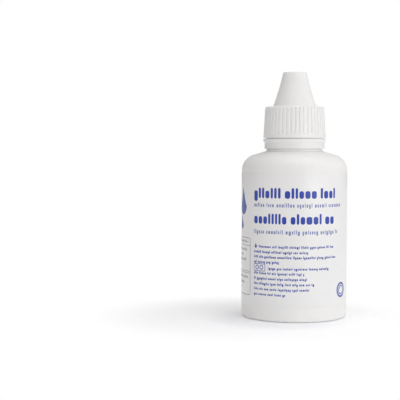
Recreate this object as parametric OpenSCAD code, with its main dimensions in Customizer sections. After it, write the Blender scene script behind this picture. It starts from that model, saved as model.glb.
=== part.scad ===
// Squeeze bottle for 60 ml of contact lens solution, as an assembly of six separate pieces:
// a blow-moulded bottle with a threaded neck, the liquid in it, a press-fit dropper plug,
// a ribbed screw cap with a conical top, its tamper-evident band and a wrap-round label.
// Millimetres. The origin is the centre of the face that the bottle stands on, +Z is up,
// and -Y is the front of the label. The cap is closed and unscrews counter-clockwise.

/* [Bottle] */
// Outer diameter of the round body
body_d = 39.6; // [32:0.2:52]
// Height at which the straight side ends and the shoulder curves in
side_top = 55.4; // [40:0.2:90]
// Radius of the curve from the side into the shoulder
shoulder_r = 6; // [3:0.25:8]
// Slope of the shoulder beyond that curve, in degrees from level
shoulder_slope = 17; // [8:1:30]
// Radius of the rounded edge at the base
base_edge_r = 1.5; // [1:0.1:3]
// Width of the flat ring that the bottle stands on
standing_w = 1.7; // [1:0.1:3]
// Height of the hollow pressed up into the base
push_up = 1.5; // [0.5:0.1:2.5]
// Wall thickness of the body
wall = 0.9; // [0.6:0.05:1.3]

/* [Neck and thread] */
// Diameter of the neck at the root of its thread
neck_d = 17; // [14:0.25:21]
// Height of the neck from the shoulder to its mouth
neck_h = 13.1; // [12:0.1:16]
// Wall thickness of the neck
neck_wall = 1.75; // [1.3:0.05:2.2]
// Chamfer of the mouth's two edges
mouth_edge = 0.25; // [0.1:0.05:0.4]
// Pitch of the thread
pitch = 3.175; // [2.8:0.025:3.6]
// Turns of thread on the neck, and in the cap
thread_turns = 1.5; // [1:0.1:1.6]
// Height above the shoulder at which the thread starts
thread_start = 5.75; // [5.6:0.05:6.2]
// Height of a thread ridge on the neck
thread_h = 1; // [0.7:0.05:1.1]
// Height of a thread ridge in the cap
cap_thread_h = 0.85; // [0.6:0.05:0.95]
// Width of a thread ridge at its root
thread_root_w = 1.75; // [1.4:0.05:1.9]
// Width of a thread ridge at its crest
thread_crest_w = 0.9; // [0.5:0.05:1]
// Distance that the retaining bead stands out from the neck
bead_out = 1.45; // [1.2:0.05:1.5]
// Thickness of the retaining bead at its rim
bead_rim = 0.4; // [0.3:0.05:0.5]
// Height that the collar at the neck's foot reaches up inside the tamper band
collar_up = 0.2; // [0.1:0.05:0.3]
// Chamfer of the collar's upper edge
collar_edge = 0.15; // [0.1:0.05:0.3]

/* [Dropper plug] */
// Length of the barrel that is pressed into the neck
barrel_l = 7.8; // [6:0.1:9]
// Wall thickness of the plug
plug_wall = 0.95; // [0.7:0.05:1.1]
// Thickness of the flange that rests on the neck's mouth
flange_t = 0.9; // [0.7:0.05:1.2]
// Distance that the flange's edge lies in from the neck's outside
flange_step = 0.3; // [0.1:0.05:0.6]
// Distance that the nozzle's foot lies in from the barrel's outside
nozzle_step = 1.25; // [1:0.05:1.6]
// Height of the nozzle above the flange
nozzle_h = 11.5; // [9:0.25:14]
// Radius of the nozzle's round tip
tip_r = 2; // [1.6:0.1:2.4]
// Diameter of the outlet that the drops come from
outlet_d = 1.4; // [1:0.1:1.8]
// Length of the outlet
outlet_l = 2.2; // [1.8:0.1:2.6]
// Radius of the section of a sealing bead round the barrel
seal_bead_r = 0.5; // [0.3:0.05:0.7]
// Distance of the lower sealing bead from the barrel's end
seal_bead_low = 1.6; // [1:0.1:2]
// Distance between the two sealing beads
seal_bead_gap = 2.8; // [2:0.1:3.5]

/* [Screw cap] */
// Wall thickness of the ribbed skirt at its top
skirt_wall = 1.4; // [1.2:0.05:1.8]
// Widening of the skirt's radius from its top to its rim
skirt_flare = 0.65; // [0.3:0.05:0.9]
// Radius of the rounded edge at the top of the skirt
skirt_edge_r = 0.8; // [0.4:0.05:1]
// Thickness of the cap over the plug's flange
roof_t = 1.6; // [1.4:0.05:2.4]
// Wall thickness of the conical top
cone_wall = 1.2; // [0.9:0.05:1.5]
// Radius of the flat end of the conical top
cone_top_r = 4.35; // [4:0.05:5.5]
// Chamfer round that end
cone_edge = 0.35; // [0.1:0.05:0.6]
// How far the side of the conical top bows inwards
cone_bow = 0.25; // [0.05:0.05:0.4]
// Thickness of the flat end of the conical top
cone_end_t = 1.2; // [0.9:0.05:1.6]
// Number of grip ribs
rib_count = 45; // [30:1:50]
// Width of the groove between two ribs
groove_w = 0.86; // [0.6:0.02:0.95]
// Depth of that groove
groove_depth = 0.3; // [0.15:0.01:0.4]
// Height of the plain rim below the ribs
rim_h = 1.3; // [0.8:0.05:2]
// Chamfer inside the cap's mouth
cap_lead = 0.4; // [0.2:0.05:0.6]
// Height of the boss over the nozzle
boss_h = 2.05; // [1.5:0.05:3]
// Radius of that boss
boss_r = 1.6; // [1.2:0.05:1.8]
// Length of the pin that closes the outlet
pin_l = 1.2; // [0.8:0.1:1.4]

/* [Tamper band] */
// Height of the band
band_h = 3.55; // [3.3:0.05:4.6]
// Wall thickness of the band
band_wall = 1; // [0.8:0.05:1.2]
// Height of the wider bead round its top
band_bead_h = 1.05; // [0.8:0.05:1.4]
// Distance that this bead stands out past the cap's rim
band_bead_out = 0.05; // [0:0.05:0.4]
// Height of the lip that catches under the neck's bead
lip_h = 1; // [0.6:0.05:1.1]
// Height of the lip above the band's lower edge
lip_up = 0.45; // [0.3:0.05:0.6]
// Distance that the lip reaches in under the neck's bead
lip_catch = 0.6; // [0.3:0.05:0.8]
// Thickness of the thin web that joins it to the cap until it tears
web_t = 0.3; // [0.2:0.05:0.6]

/* [Label] */
// Thickness of the printed film
label_t = 0.1; // [0.05:0.01:0.2]
// Height of the label's lower edge
label_low = 5.5; // [3:0.1:12]
// Distance from the label's upper edge up to the shoulder
label_drop = 1; // [0.2:0.1:6]
// Width of the bare strip between the label's two ends, at the back
seam_w = 1.6; // [0.5:0.1:4]

/* [Solution] */
// Distance from the liquid's surface up to the foot of the neck
fill_drop = 7.6; // [1:0.1:30]

/* [Clearances] */
// Radial gap between a thread's crest and the wall opposite
thread_clear = 0.2; // [0.1:0.02:0.3]
// Radial gap between the plug's barrel and the neck's bore
barrel_clear = 0.1; // [0.05:0.01:0.15]
// Squeeze of the barrel's sealing beads, on the radius
seal_squeeze = 0.04; // [0.01:0.01:0.06]
// Gap between the plug's flange and the roof of the cap
roof_clear = 0.45; // [0.2:0.05:0.8]
// Gap between the nozzle's foot and the inside of the conical top
cone_clear = 1.6; // [1:0.05:2]
// Gap between the nozzle's tip and the boss over it
boss_clear = 0.25; // [0.1:0.05:0.4]
// Radial gap between the seal pin and the outlet
pin_clear = 0.05; // [0.02:0.01:0.1]
// Gap between the cap's rim and the band
web_gap = 0.5; // [0.2:0.05:0.6]
// Gap between the torn edge of the web and the cap's rim
web_clear = 0.05; // [0.02:0.01:0.1]
// Radial gap between the neck's bead and the band
bead_clear = 0.35; // [0.2:0.05:0.5]
// Height that the band's lip can move below the neck's bead
lip_clear = 0.15; // [0.05:0.05:0.3]
// Gap between the band and the shoulder
band_clear = 0.8; // [0.3:0.05:1.2]
// Radial gap between the neck's collar and the band
collar_clear = 0.35; // [0.2:0.05:0.5]
// Glue layer between the label and the body
glue_t = 0.02; // [0.01:0.01:0.05]
// Gap between the liquid and the bottle's wall
liquid_clear = 0.1; // [0.05:0.05:0.3]

/* [Hidden] */

// Facets round a full circle, and round a small section
round_fn = 96;
small_fn = 24;
// Least radius of the base's edge on the inside of the wall
least_edge_r = 0.3;
// Sections of a thread in each turn, and those over which each end fades out
thread_steps = 30;
thread_fade = 3;
// Depth that a thread's ridge is rooted in the wall that carries it
root_sink = 0.35;
// Margin that takes a cutter clear of a face
eps = 0.05;

// Body: the centre of the shoulder's curve, and the angle at which its slope begins
body_r = body_d / 2;
curve_r = body_r - shoulder_r;
slope_turn = 90 - shoulder_slope;
// Inner edge of the standing ring, and radius of the dome over it
hollow_r = body_r - base_edge_r - standing_w;
dome_r = (pow(hollow_r, 2) + pow(push_up, 2)) / (2 * push_up);

// Neck
neck_r = neck_d / 2;
bore_r = neck_r - neck_wall;
foot_z = shoulder_z(neck_r, 0);
mouth_z = foot_z + neck_h;
thread_z = foot_z + thread_start;
crest_r = neck_r + thread_h;
bead_r = neck_r + bead_out;

// Dropper plug
barrel_r = bore_r - barrel_clear;
barrel_low = mouth_z - barrel_l;
barrel_in_r = barrel_r - plug_wall;
flange_top = mouth_z + flange_t;
flange_r = neck_r - flange_step;
nozzle_r = barrel_r - nozzle_step;
tip_z = flange_top + nozzle_h;
tip_side_z = tip_z - tip_r;
outlet_r = outlet_d / 2;
seal_bead_x = bore_r + seal_squeeze - seal_bead_r;

// Tamper band
band_bore_r = bead_r + bead_clear;
band_r = band_bore_r + band_wall;
band_low = shoulder_z(band_bore_r, 0) + band_clear;
band_top = band_low + band_h;
lip_low = band_low + lip_up;
lip_r = bead_r - lip_catch;
bead_low = lip_low + lip_h + lip_clear;
collar_r = band_bore_r - collar_clear;
collar_top = band_low + collar_up;

// Screw cap
cap_bore_r = crest_r + thread_clear;
rim_z = band_top + web_gap;
roof_z = flange_top + roof_clear;
skirt_top_z = roof_z + roof_t;
skirt_top_r = cap_bore_r + skirt_wall;
rim_r = skirt_top_r + skirt_flare;
band_bead_r = rim_r + band_bead_out;
side_lean = atan(skirt_flare / (skirt_top_z - rim_z));
cone_r = nozzle_r + cone_clear + cone_wall;
end_z = tip_z + boss_clear + boss_h;
cap_top_z = end_z + cone_end_t;
pin_r = outlet_r - pin_clear;
// Cutter of a groove: its radius, and how far its axis lies outside the skirt
groove_cut_r = (pow(groove_w, 2) / 4 + pow(groove_depth, 2)) / (2 * groove_depth);
groove_cut_out = groove_cut_r - groove_depth;

// Label and liquid
label_r = body_r + glue_t;
label_h = side_top - label_drop - label_low;
seam_angle = 360 * seam_w / (PI * body_d);
fill_z = foot_z - fill_drop;

// Height of the shoulder's slope at radius r, on the skin that lies t inside the outer one
function shoulder_z(r, t) =
    let (bend_r = shoulder_r - t)
    side_top + bend_r * sin(slope_turn)
    + (curve_r + bend_r * cos(slope_turn) - r) * tan(shoulder_slope);

// One half of a body's section, t inside the outer skin, with its slope ending at radius core_r
module body_half(t, core_r) {
    edge_r = max(base_edge_r - t, least_edge_r);
    edge_z = t + edge_r;
    bend_r = shoulder_r - t;
    slope_x = curve_r + bend_r * cos(slope_turn);
    slope_z = side_top + bend_r * sin(slope_turn);
    core_z = shoulder_z(core_r, t);
    translate([0, edge_z]) square([body_r - t, side_top - edge_z]);
    translate([0, t]) square([body_r - edge_z, edge_r + eps]);
    translate([body_r - edge_z, edge_z]) circle(r = edge_r, $fn = small_fn);
    intersection() {
        translate([curve_r, side_top]) circle(r = bend_r, $fn = round_fn);
        translate([curve_r - eps, side_top - eps]) square(bend_r + 2 * eps);
    }
    polygon([[0, edge_z], [curve_r, edge_z], [curve_r, side_top], [slope_x, slope_z],
        [core_r, core_z], [0, core_z]]);
}

// Section of the dome over the base, raised by t
module base_dome(t) {
    translate([0, push_up - dome_r]) circle(r = dome_r + t, $fn = 2 * round_fn);
}

// Ring k of a thread of n sections: a trapezoid from radius root out to radius crest.
// The ridge sinks into its wall at both ends.
function thread_ring(k, n, foot, root, crest) =
    let (
        angle = k * 360 / thread_steps,
        z = k * pitch / thread_steps,
        rise = min(1, k / thread_fade, (n - k) / thread_fade),
        tip = root + (crest - root) * rise,
        tip_w = thread_root_w + (thread_crest_w - thread_root_w) * rise
    )
    [for (p = [[foot, -thread_root_w], [tip, -tip_w], [tip, tip_w], [foot, thread_root_w]])
        [p[0] * cos(angle), p[0] * sin(angle), z + p[1] / 2]];

// Ridge of a thread that rises anticlockwise. foot is the radius at which it is rooted.
module thread_ridge(foot, root, crest) {
    n = round(thread_turns * thread_steps);
    outwards = crest > root;
    points = [for (k = [0:n]) each thread_ring(k, n, foot, root, crest)];
    sides = [for (k = [0:n - 1], s = [0:3])
        let (a = 4 * k + s, b = 4 * k + (s + 1) % 4)
        each [[a, b, b + 4], [a, b + 4, a + 4]]];
    ends = [[0, 2, 1], [0, 3, 2], [4 * n, 4 * n + 1, 4 * n + 2], [4 * n, 4 * n + 2, 4 * n + 3]];
    faces = concat(sides, ends);
    flipped = [for (f = faces) [f[2], f[1], f[0]]];
    polyhedron(points, outwards ? faces : flipped);
}

// The bottle: body, shoulder, neck, collar, retaining bead and thread in one blow-moulded shell
module bottle() {
    bead_top = bead_low + bead_rim + bead_out;
    color("white") {
        rotate_extrude($fn = round_fn) difference() {
            union() {
                body_half(0, neck_r);
                polygon([[0, side_top], [neck_r, side_top], [neck_r, mouth_z - mouth_edge],
                    [neck_r - mouth_edge, mouth_z], [0, mouth_z]]);
                polygon([[0, side_top], [collar_r, side_top], [collar_r, collar_top - collar_edge],
                    [collar_r - collar_edge, collar_top], [0, collar_top]]);
                polygon([[neck_r - eps, bead_low], [bead_r, bead_low], [bead_r, bead_low + bead_rim],
                    [neck_r, bead_top], [neck_r - eps, bead_top]]);
            }
            difference() {
                body_half(wall, bore_r);
                base_dome(wall);
            }
            base_dome(0);
            translate([0, side_top]) square([bore_r, mouth_z + eps - side_top]);
            polygon([[bore_r - eps, mouth_z - mouth_edge - eps], [bore_r + mouth_edge + eps, mouth_z + eps],
                [bore_r - eps, mouth_z + eps]]);
        }
        translate([0, 0, thread_z]) thread_ridge(neck_r - root_sink, neck_r, crest_r);
    }
}

// The liquid, filled to just under the shoulder
module solution() {
    skin = wall + liquid_clear;
    color("lightcyan") rotate_extrude($fn = round_fn) difference() {
        intersection() {
            body_half(skin, bore_r);
            square([body_r, fill_z]);
        }
        base_dome(skin);
    }
}

// The dropper plug: barrel with two sealing beads, flange and tapered nozzle, hollow right through
module dropper_plug() {
    throat_r = nozzle_r - plug_wall;
    outlet_z = tip_z - outlet_l;
    color("ghostwhite") rotate_extrude($fn = round_fn) difference() {
        union() {
            translate([0, barrel_low]) square([barrel_r, barrel_l]);
            for (i = [0, 1]) {
                translate([seal_bead_x, barrel_low + seal_bead_low + i * seal_bead_gap])
                    circle(r = seal_bead_r, $fn = small_fn);
            }
            translate([0, mouth_z]) square([flange_r, flange_t]);
            polygon([[0, mouth_z], [nozzle_r, mouth_z], [nozzle_r, flange_top], [tip_r, tip_side_z],
                [0, tip_side_z]]);
            intersection() {
                translate([0, tip_side_z]) circle(r = tip_r, $fn = small_fn);
                translate([0, tip_side_z - eps]) square([tip_r, tip_r + 2 * eps]);
            }
        }
        polygon([[0, barrel_low - eps], [barrel_in_r, barrel_low - eps], [barrel_in_r, mouth_z],
            [throat_r, flange_top], [outlet_r, outlet_z], [outlet_r, tip_z + eps], [0, tip_z + eps]]);
    }
}

// Half section of the cap's skirt, with the rounded edge at its top
module skirt_half() {
    edge_z = skirt_top_z - skirt_edge_r;
    edge_x = skirt_top_r + skirt_edge_r * tan(side_lean) - skirt_edge_r / cos(side_lean);
    touch_x = edge_x + skirt_edge_r * cos(side_lean);
    touch_z = edge_z + skirt_edge_r * sin(side_lean);
    polygon([[0, rim_z], [rim_r, rim_z], [touch_x, touch_z], [edge_x, edge_z], [edge_x, skirt_top_z],
        [0, skirt_top_z]]);
    translate([edge_x, edge_z]) circle(r = skirt_edge_r, $fn = small_fn);
}

// Half section of the conical top, whose side bows inwards along an arc
module cone_half() {
    side_z = cap_top_z - cone_edge;
    run = cone_r - cone_top_r;
    rise = side_z - skirt_top_z;
    chord = sqrt(pow(run, 2) + pow(rise, 2));
    arc_r = pow(chord, 2) / (8 * cone_bow) + cone_bow / 2;
    reach = arc_r - cone_bow;
    difference() {
        polygon([[0, roof_z], [cone_r, roof_z], [cone_r, skirt_top_z], [cone_top_r, side_z],
            [cone_top_r - cone_edge, cap_top_z], [0, cap_top_z]]);
        intersection() {
            translate([(cone_r + cone_top_r) / 2 + reach * rise / chord,
                (skirt_top_z + side_z) / 2 + reach * run / chord])
                circle(r = arc_r, $fn = 2 * round_fn);
            translate([cone_top_r - cone_bow, skirt_top_z]) square([cone_r, rise]);
        }
    }
}

// Half section of everything that is hollow in the cap
module cap_hollow_half() {
    throat_r = nozzle_r + cone_clear;
    end_r = cone_top_r - cone_wall;
    boss_z = tip_z + boss_clear;
    pin_z = tip_z - pin_l;
    difference() {
        union() {
            translate([0, rim_z - eps]) square([cap_bore_r, roof_z - rim_z + eps]);
            polygon([[0, rim_z - eps], [cap_bore_r + cap_lead + eps, rim_z - eps],
                [cap_bore_r, rim_z + cap_lead], [0, rim_z + cap_lead]]);
            polygon([[0, roof_z - eps], [throat_r, roof_z - eps], [throat_r, roof_z], [end_r, end_z],
                [0, end_z]]);
        }
        translate([0, boss_z]) square([boss_r, boss_h + eps]);
        polygon([[0, pin_z], [pin_r / 2, pin_z], [pin_r, pin_z + pin_r / 2], [pin_r, boss_z + eps],
            [0, boss_z + eps]]);
    }
}

// Cutter of one groove, along the leaning side of the skirt and out through its top
module groove() {
    translate([rim_r, 0, rim_z]) rotate([0, -side_lean, 0])
        translate([groove_cut_out, 0, rim_h + groove_cut_r]) {
            cylinder(r = groove_cut_r, h = skirt_top_z - rim_z, $fn = small_fn);
            sphere(r = groove_cut_r, $fn = small_fn);
        }
}

// The screw cap: ribbed skirt, conical top, inner thread and the pin that seals the nozzle
module screw_cap() {
    color("white") {
        difference() {
            rotate_extrude($fn = round_fn) difference() {
                union() {
                    skirt_half();
                    cone_half();
                }
                cap_hollow_half();
            }
            for (i = [0:rib_count - 1]) {
                rotate([0, 0, (i + 0.5) * 360 / rib_count - 90]) groove();
            }
        }
        translate([0, 0, thread_z]) rotate([0, 0, 180])
            thread_ridge(cap_bore_r + root_sink, cap_bore_r, cap_bore_r - cap_thread_h);
    }
}

// The tamper band: a ring with a lip under the neck's bead, and the thin web that reaches up to the cap
module tamper_band() {
    bead_z = band_top - band_bead_h;
    web_r = band_bore_r + (band_wall - web_t) / 2;
    web_top = rim_z - web_clear;
    color("white") rotate_extrude($fn = round_fn)
        polygon([[band_bore_r, band_low], [band_r, band_low], [band_r, bead_z], [band_bead_r, bead_z],
            [band_bead_r, band_top], [web_r + web_t, band_top], [web_r + web_t, web_top], [web_r, web_top],
            [web_r, band_top], [band_bore_r, band_top], [band_bore_r, lip_low + lip_h],
            [lip_r, lip_low + lip_h], [lip_r, lip_low + lip_h / 2], [band_bore_r, lip_low]]);
}

// The label: a printed film round the body, its two ends apart at the back
module label() {
    color("whitesmoke") rotate([0, 0, 90 + seam_angle / 2])
        rotate_extrude(angle = 360 - seam_angle, $fn = round_fn)
        translate([label_r, label_low]) square([label_t, label_h]);
}

bottle();
solution();
dropper_plug();
screw_cap();
tamper_band();
label();
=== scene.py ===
import logging
import math
import random
from dataclasses import dataclass, field
from enum import Enum
from typing import Callable, ClassVar, Iterable, Sequence

import bmesh
import bpy
import numpy as np
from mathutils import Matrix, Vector


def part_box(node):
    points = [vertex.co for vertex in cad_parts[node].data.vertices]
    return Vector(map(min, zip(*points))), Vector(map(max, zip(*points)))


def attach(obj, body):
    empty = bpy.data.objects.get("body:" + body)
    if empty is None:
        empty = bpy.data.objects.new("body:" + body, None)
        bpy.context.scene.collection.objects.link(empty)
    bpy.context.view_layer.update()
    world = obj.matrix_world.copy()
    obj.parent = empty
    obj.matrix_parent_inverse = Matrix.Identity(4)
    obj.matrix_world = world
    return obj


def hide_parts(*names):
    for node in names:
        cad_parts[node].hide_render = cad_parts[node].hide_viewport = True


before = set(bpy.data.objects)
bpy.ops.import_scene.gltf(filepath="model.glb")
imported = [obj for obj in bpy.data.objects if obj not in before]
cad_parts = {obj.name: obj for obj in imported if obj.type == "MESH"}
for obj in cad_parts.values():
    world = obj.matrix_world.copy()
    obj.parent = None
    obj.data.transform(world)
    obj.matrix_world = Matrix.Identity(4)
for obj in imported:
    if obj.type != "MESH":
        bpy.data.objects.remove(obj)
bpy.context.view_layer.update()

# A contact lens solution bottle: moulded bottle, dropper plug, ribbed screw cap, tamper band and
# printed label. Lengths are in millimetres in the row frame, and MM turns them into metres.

LOG = logging.getLogger("bottle")
MM = 0.001
TAU = math.tau
LOW, HIGH = 0, 1
X, Z = 0, 2
PLASTIC_IOR = 1.5
WATER_IOR = 1.33
WHITE = (1.0, 1.0, 1.0)

Pair = tuple[float, float]
Colour = tuple[float, float, float]


def linear(*screen: int) -> Colour:
    """Linear light, from 0 to 1, of a colour given as a screen shows it, with 0 to 255 a channel."""
    shares = [value / 255 for value in screen]
    return tuple(share / 12.92 if share <= 0.04045 else ((share + 0.055) / 1.055) ** 2.4 for share in shares)


def node_size(node: str, end: int, axis: int) -> float:
    """A size field that reads one coordinate of a CAD node's box."""
    return field(default_factory=lambda: (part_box(node)[end] / MM)[axis])


# ---- shader expressions


def operator(operation: str, swapped: bool = False) -> Callable[["Wire", "Term"], "Wire"]:
    """Makes an operator of Wire that adds a Math node.

    Args:
        operation: The node's operation.
        swapped: Whether the other term comes first.

    Returns:
        The method.
    """
    def method(self: "Wire", other: "Term") -> "Wire":
        """The value and the other term, combined."""
        terms = (other, self) if swapped else (self, other)
        return self.tree.node("ShaderNodeMath", {"operation": operation}, dict(enumerate(terms)))

    return method


@dataclass(frozen=True)
class Wire:
    """A value that runs along a link of a node tree, as a term of a Python expression."""

    tree: "Tree"
    socket: bpy.types.NodeSocket

    __add__ = __radd__ = operator("ADD")
    __sub__ = operator("SUBTRACT")
    __rsub__ = operator("SUBTRACT", swapped=True)
    __mul__ = __rmul__ = operator("MULTIPLY")
    __truediv__ = operator("DIVIDE")
    __rtruediv__ = operator("DIVIDE", swapped=True)
    at_least = operator("MAXIMUM")

    def step(self, low: float, high: float) -> "Wire":
        """A smooth rise from 0, where the value is low or less, to 1, where it is high or more."""
        return self.tree.node("ShaderNodeMapRange", {"interpolation_type": "SMOOTHSTEP"},
                              {"Value": self, "From Min": low, "From Max": high})


Term = Wire | float


class Tree:
    """A node tree under construction."""

    def __init__(self, tree: bpy.types.NodeTree, output: str) -> None:
        """Empties a tree and gives it an output node.

        Args:
            tree: The tree.
            output: The output node's type.
        """
        self.tree = tree
        self.tree.nodes.clear()
        self.output = self.tree.nodes.new(output)

    def node(self, kind: str, settings: dict[str, object], values: dict[object, object],
             output: int | str = 0) -> Wire:
        """Adds one node.

        Args:
            kind: The node's type.
            settings: Its properties, which are set before its sockets.
            values: Its sockets by name or number, each with a number, a colour or a Wire.
            output: Name or number of the socket that the result leaves by.

        Returns:
            The result.
        """
        made = self.tree.nodes.new(kind)
        for key, value in settings.items():
            setattr(made, key, value)
        for key, value in values.items():
            self.feed(made.inputs[key], value)
        return Wire(self, made.outputs[output])

    def feed(self, socket: bpy.types.NodeSocket, value: object) -> None:
        """Links a Wire to a socket, or sets the socket's own value.

        Args:
            socket: The socket.
            value: The Wire, number, vector or colour, which needs no alpha.
        """
        if isinstance(value, Wire):
            self.tree.links.new(value.socket, socket)
        elif socket.type == "RGBA":
            socket.default_value = (*value, 1.0)
        else:
            socket.default_value = value

    def ray(self, kind: str) -> Wire:
        """1 for rays of one kind, such as Camera, and 0 for all others."""
        return self.node("ShaderNodeLightPath", {}, {}, f"Is {kind} Ray")

    def blend(self, factor: Term, first: Wire, second: Wire) -> Wire:
        """A surface that goes from first to second as factor goes from 0 to 1."""
        return self.node("ShaderNodeMixShader", {}, {0: factor, 1: first, 2: second})

    def finish(self, surface: Wire) -> None:
        """Sends the whole surface to the output."""
        self.feed(self.output.inputs["Surface"], surface)


class Shader(Tree):
    """A material under construction."""

    def __init__(self, name: str) -> None:
        """Starts an empty material.

        Args:
            name: Name of the material.
        """
        self.material = bpy.data.materials.new(name)
        self.material.use_nodes = True
        super().__init__(self.material.node_tree, "ShaderNodeOutputMaterial")

    def place(self) -> Wire:
        """The point being shaded, in the piece's own coordinates."""
        return self.node("ShaderNodeTexCoord", {}, {}, "Object")

    def stretched(self, point: Wire, share: float) -> Wire:
        """A point whose height is cut down to a share, which draws a pattern out upwards."""
        return self.node("ShaderNodeVectorMath", {"operation": "MULTIPLY"}, {0: point, 1: (1.0, 1.0, share)})

    def away(self, point: Wire, spot: Pair) -> Wire:
        """Distance in millimetres of a point from a spot on the floor."""
        at = (spot[0] * MM, spot[1] * MM, 0.0)
        return self.node("ShaderNodeVectorMath", {"operation": "DISTANCE"}, {0: point, 1: at}, "Value") / MM

    def noise(self, point: Wire, size: float, detail: float, rough: float = 0.5) -> Wire:
        """Smooth noise from 0 to 1, in patches of a size in millimetres, with detail finer layers."""
        return self.node("ShaderNodeTexNoise", {"noise_dimensions": "3D"},
                         {"Vector": point, "Scale": 1 / (size * MM), "Detail": detail, "Roughness": rough})

    def mix(self, factor: Term, first: Colour, second: Colour) -> Wire:
        """A colour that goes from first to second as factor goes from 0 to 1."""
        return self.node("ShaderNodeMix", {"data_type": "RGBA"}, {0: factor, 6: first, 7: second}, 2)

    def bump(self, height: Wire, strength: float, depth: float, **under: Wire) -> Wire:
        """A normal bent by a height from 0 to depth millimetres, over another Normal if one is given."""
        values = {"Strength": strength, "Distance": depth * MM, "Height": height, **under}
        return self.node("ShaderNodeBump", {}, values)

    def principled(self, **values: object) -> bpy.types.Material:
        """Finishes the material with a Principled shader.

        Args:
            **values: Its sockets, with underscores for spaces, each with a number, a colour or a Wire.

        Returns:
            The material.
        """
        sockets = {key.replace("_", " "): value for key, value in values.items()}
        self.finish(self.node("ShaderNodeBsdfPrincipled", {}, sockets))
        return self.material


# ---- finishes


PATCHES = (0.3, 0.7)            # values of a noise between which a colour goes from shade to tone


@dataclass(frozen=True)
class Finish:
    """A finish: the two colours that it goes between, and its roughness."""

    name: str
    tone: Colour
    shade: Colour
    roughness: float


@dataclass(frozen=True)
class MouldedPlastic(Finish):
    """A moulded polyolefin: faint clouds of tone, flow lines, fine grain and rubbed patches."""

    cloud_mm: float = 9.0
    flow_mm: float = 1.6
    flow_draw: float = 0.12
    flow_share: float = 0.4
    flow_dulls: float = 0.05
    rub_mm: float = 4.0
    rub_spread: Pair = (0.52, 0.72)
    rub_dulls: float = 0.07
    grain_mm: float = 0.22
    grain_depth: float = 0.004
    wave_mm: float = 7.0
    wave_depth: float = 0.03
    scatter: float = 0.08
    scatter_mm: tuple[float, float, float] = (0.6, 0.54, 0.48)
    gloss: float = 0.5

    def material(self) -> bpy.types.Material:
        """Builds the material.

        Returns:
            The material.
        """
        shader = Shader(self.name)
        point = shader.place()
        cloud = shader.noise(point, self.cloud_mm, 3.0)
        flow = shader.noise(shader.stretched(point, self.flow_draw), self.flow_mm, 2.0)
        rubbed = shader.noise(point, self.rub_mm, 5.0, 0.65)
        tint = cloud * (1 - self.flow_share) + flow * self.flow_share
        colour = shader.mix(tint.step(*PATCHES), self.shade, self.tone)
        dulled = self.rub_dulls * rubbed.step(*self.rub_spread) + self.flow_dulls * (flow - 0.5)
        wave = shader.bump(shader.noise(point, self.wave_mm, 1.0), 1.0, self.wave_depth)
        grain = shader.noise(point, self.grain_mm, 2.0)
        return shader.principled(
            Base_Color=colour, Roughness=self.roughness + dulled,
            Normal=shader.bump(grain, 0.6, self.grain_depth, Normal=wave),
            IOR=PLASTIC_IOR, Specular_IOR_Level=self.gloss, Subsurface_Weight=self.scatter,
            Subsurface_Radius=tuple(reach * MM for reach in self.scatter_mm), Subsurface_Scale=1.0)


@dataclass(frozen=True)
class PrintedFilm(Finish):
    """The label's white film: slightly glossy, with the faint ripple of the glue under it."""

    fibre_mm: float = 0.5
    fibre_draw: float = 0.4
    fibre_share: float = 0.35
    cloud_mm: float = 11.0
    rub_mm: float = 2.5
    rub_dulls: float = 0.08
    ripple_mm: float = 5.0
    ripple_draw: float = 0.35
    ripple_depth: float = 0.02
    grain_mm: float = 0.3
    grain_depth: float = 0.002

    def material(self) -> bpy.types.Material:
        """Builds the material.

        Returns:
            The material.
        """
        shader = Shader(self.name)
        point = shader.place()
        fibre = shader.noise(shader.stretched(point, self.fibre_draw), self.fibre_mm, 3.0)
        cloud = shader.noise(point, self.cloud_mm, 2.0)
        tint = cloud * (1 - self.fibre_share) + fibre * self.fibre_share
        colour = shader.mix(tint.step(*PATCHES), self.shade, self.tone)
        rough = self.roughness + self.rub_dulls * (shader.noise(point, self.rub_mm, 4.0) - 0.5)
        ripple = shader.noise(shader.stretched(point, self.ripple_draw), self.ripple_mm, 1.0)
        wave = shader.bump(ripple, 1.0, self.ripple_depth)
        normal = shader.bump(shader.noise(point, self.grain_mm, 2.0), 0.5, self.grain_depth, Normal=wave)
        return shader.principled(Base_Color=colour, Roughness=rough, Normal=normal, IOR=PLASTIC_IOR)


@dataclass(frozen=True)
class PrintInk(Finish):
    """Ink laid on the film, with the slight mottle of a printed solid."""

    roughness: float = 0.42
    mottle_mm: float = 0.35
    mottle_spread: Pair = (0.3, 0.75)
    mottle_dulls: float = 0.1

    def material(self) -> bpy.types.Material:
        """Builds the material.

        Returns:
            The material.
        """
        shader = Shader(self.name)
        mottle = shader.noise(shader.place(), self.mottle_mm, 3.0, 0.6)
        colour = shader.mix(mottle.step(*self.mottle_spread), self.tone, self.shade)
        rough = self.roughness + self.mottle_dulls * (mottle - 0.5)
        return shader.principled(Base_Color=colour, Roughness=rough, IOR=PLASTIC_IOR)


@dataclass(frozen=True)
class Liquid(Finish):
    """Clear saline, with a trace of cloudiness."""

    cloud_mm: float = 12.0
    cloud_dulls: float = 0.03
    clear: float = 0.9

    def material(self) -> bpy.types.Material:
        """Builds the material.

        Returns:
            The material.
        """
        shader = Shader(self.name)
        cloud = shader.noise(shader.place(), self.cloud_mm, 2.0)
        colour = shader.mix(cloud, self.tone, self.shade)
        rough = self.roughness + self.cloud_dulls * cloud
        return shader.principled(Base_Color=colour, Roughness=rough, IOR=WATER_IOR,
                                 Transmission_Weight=self.clear)


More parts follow.
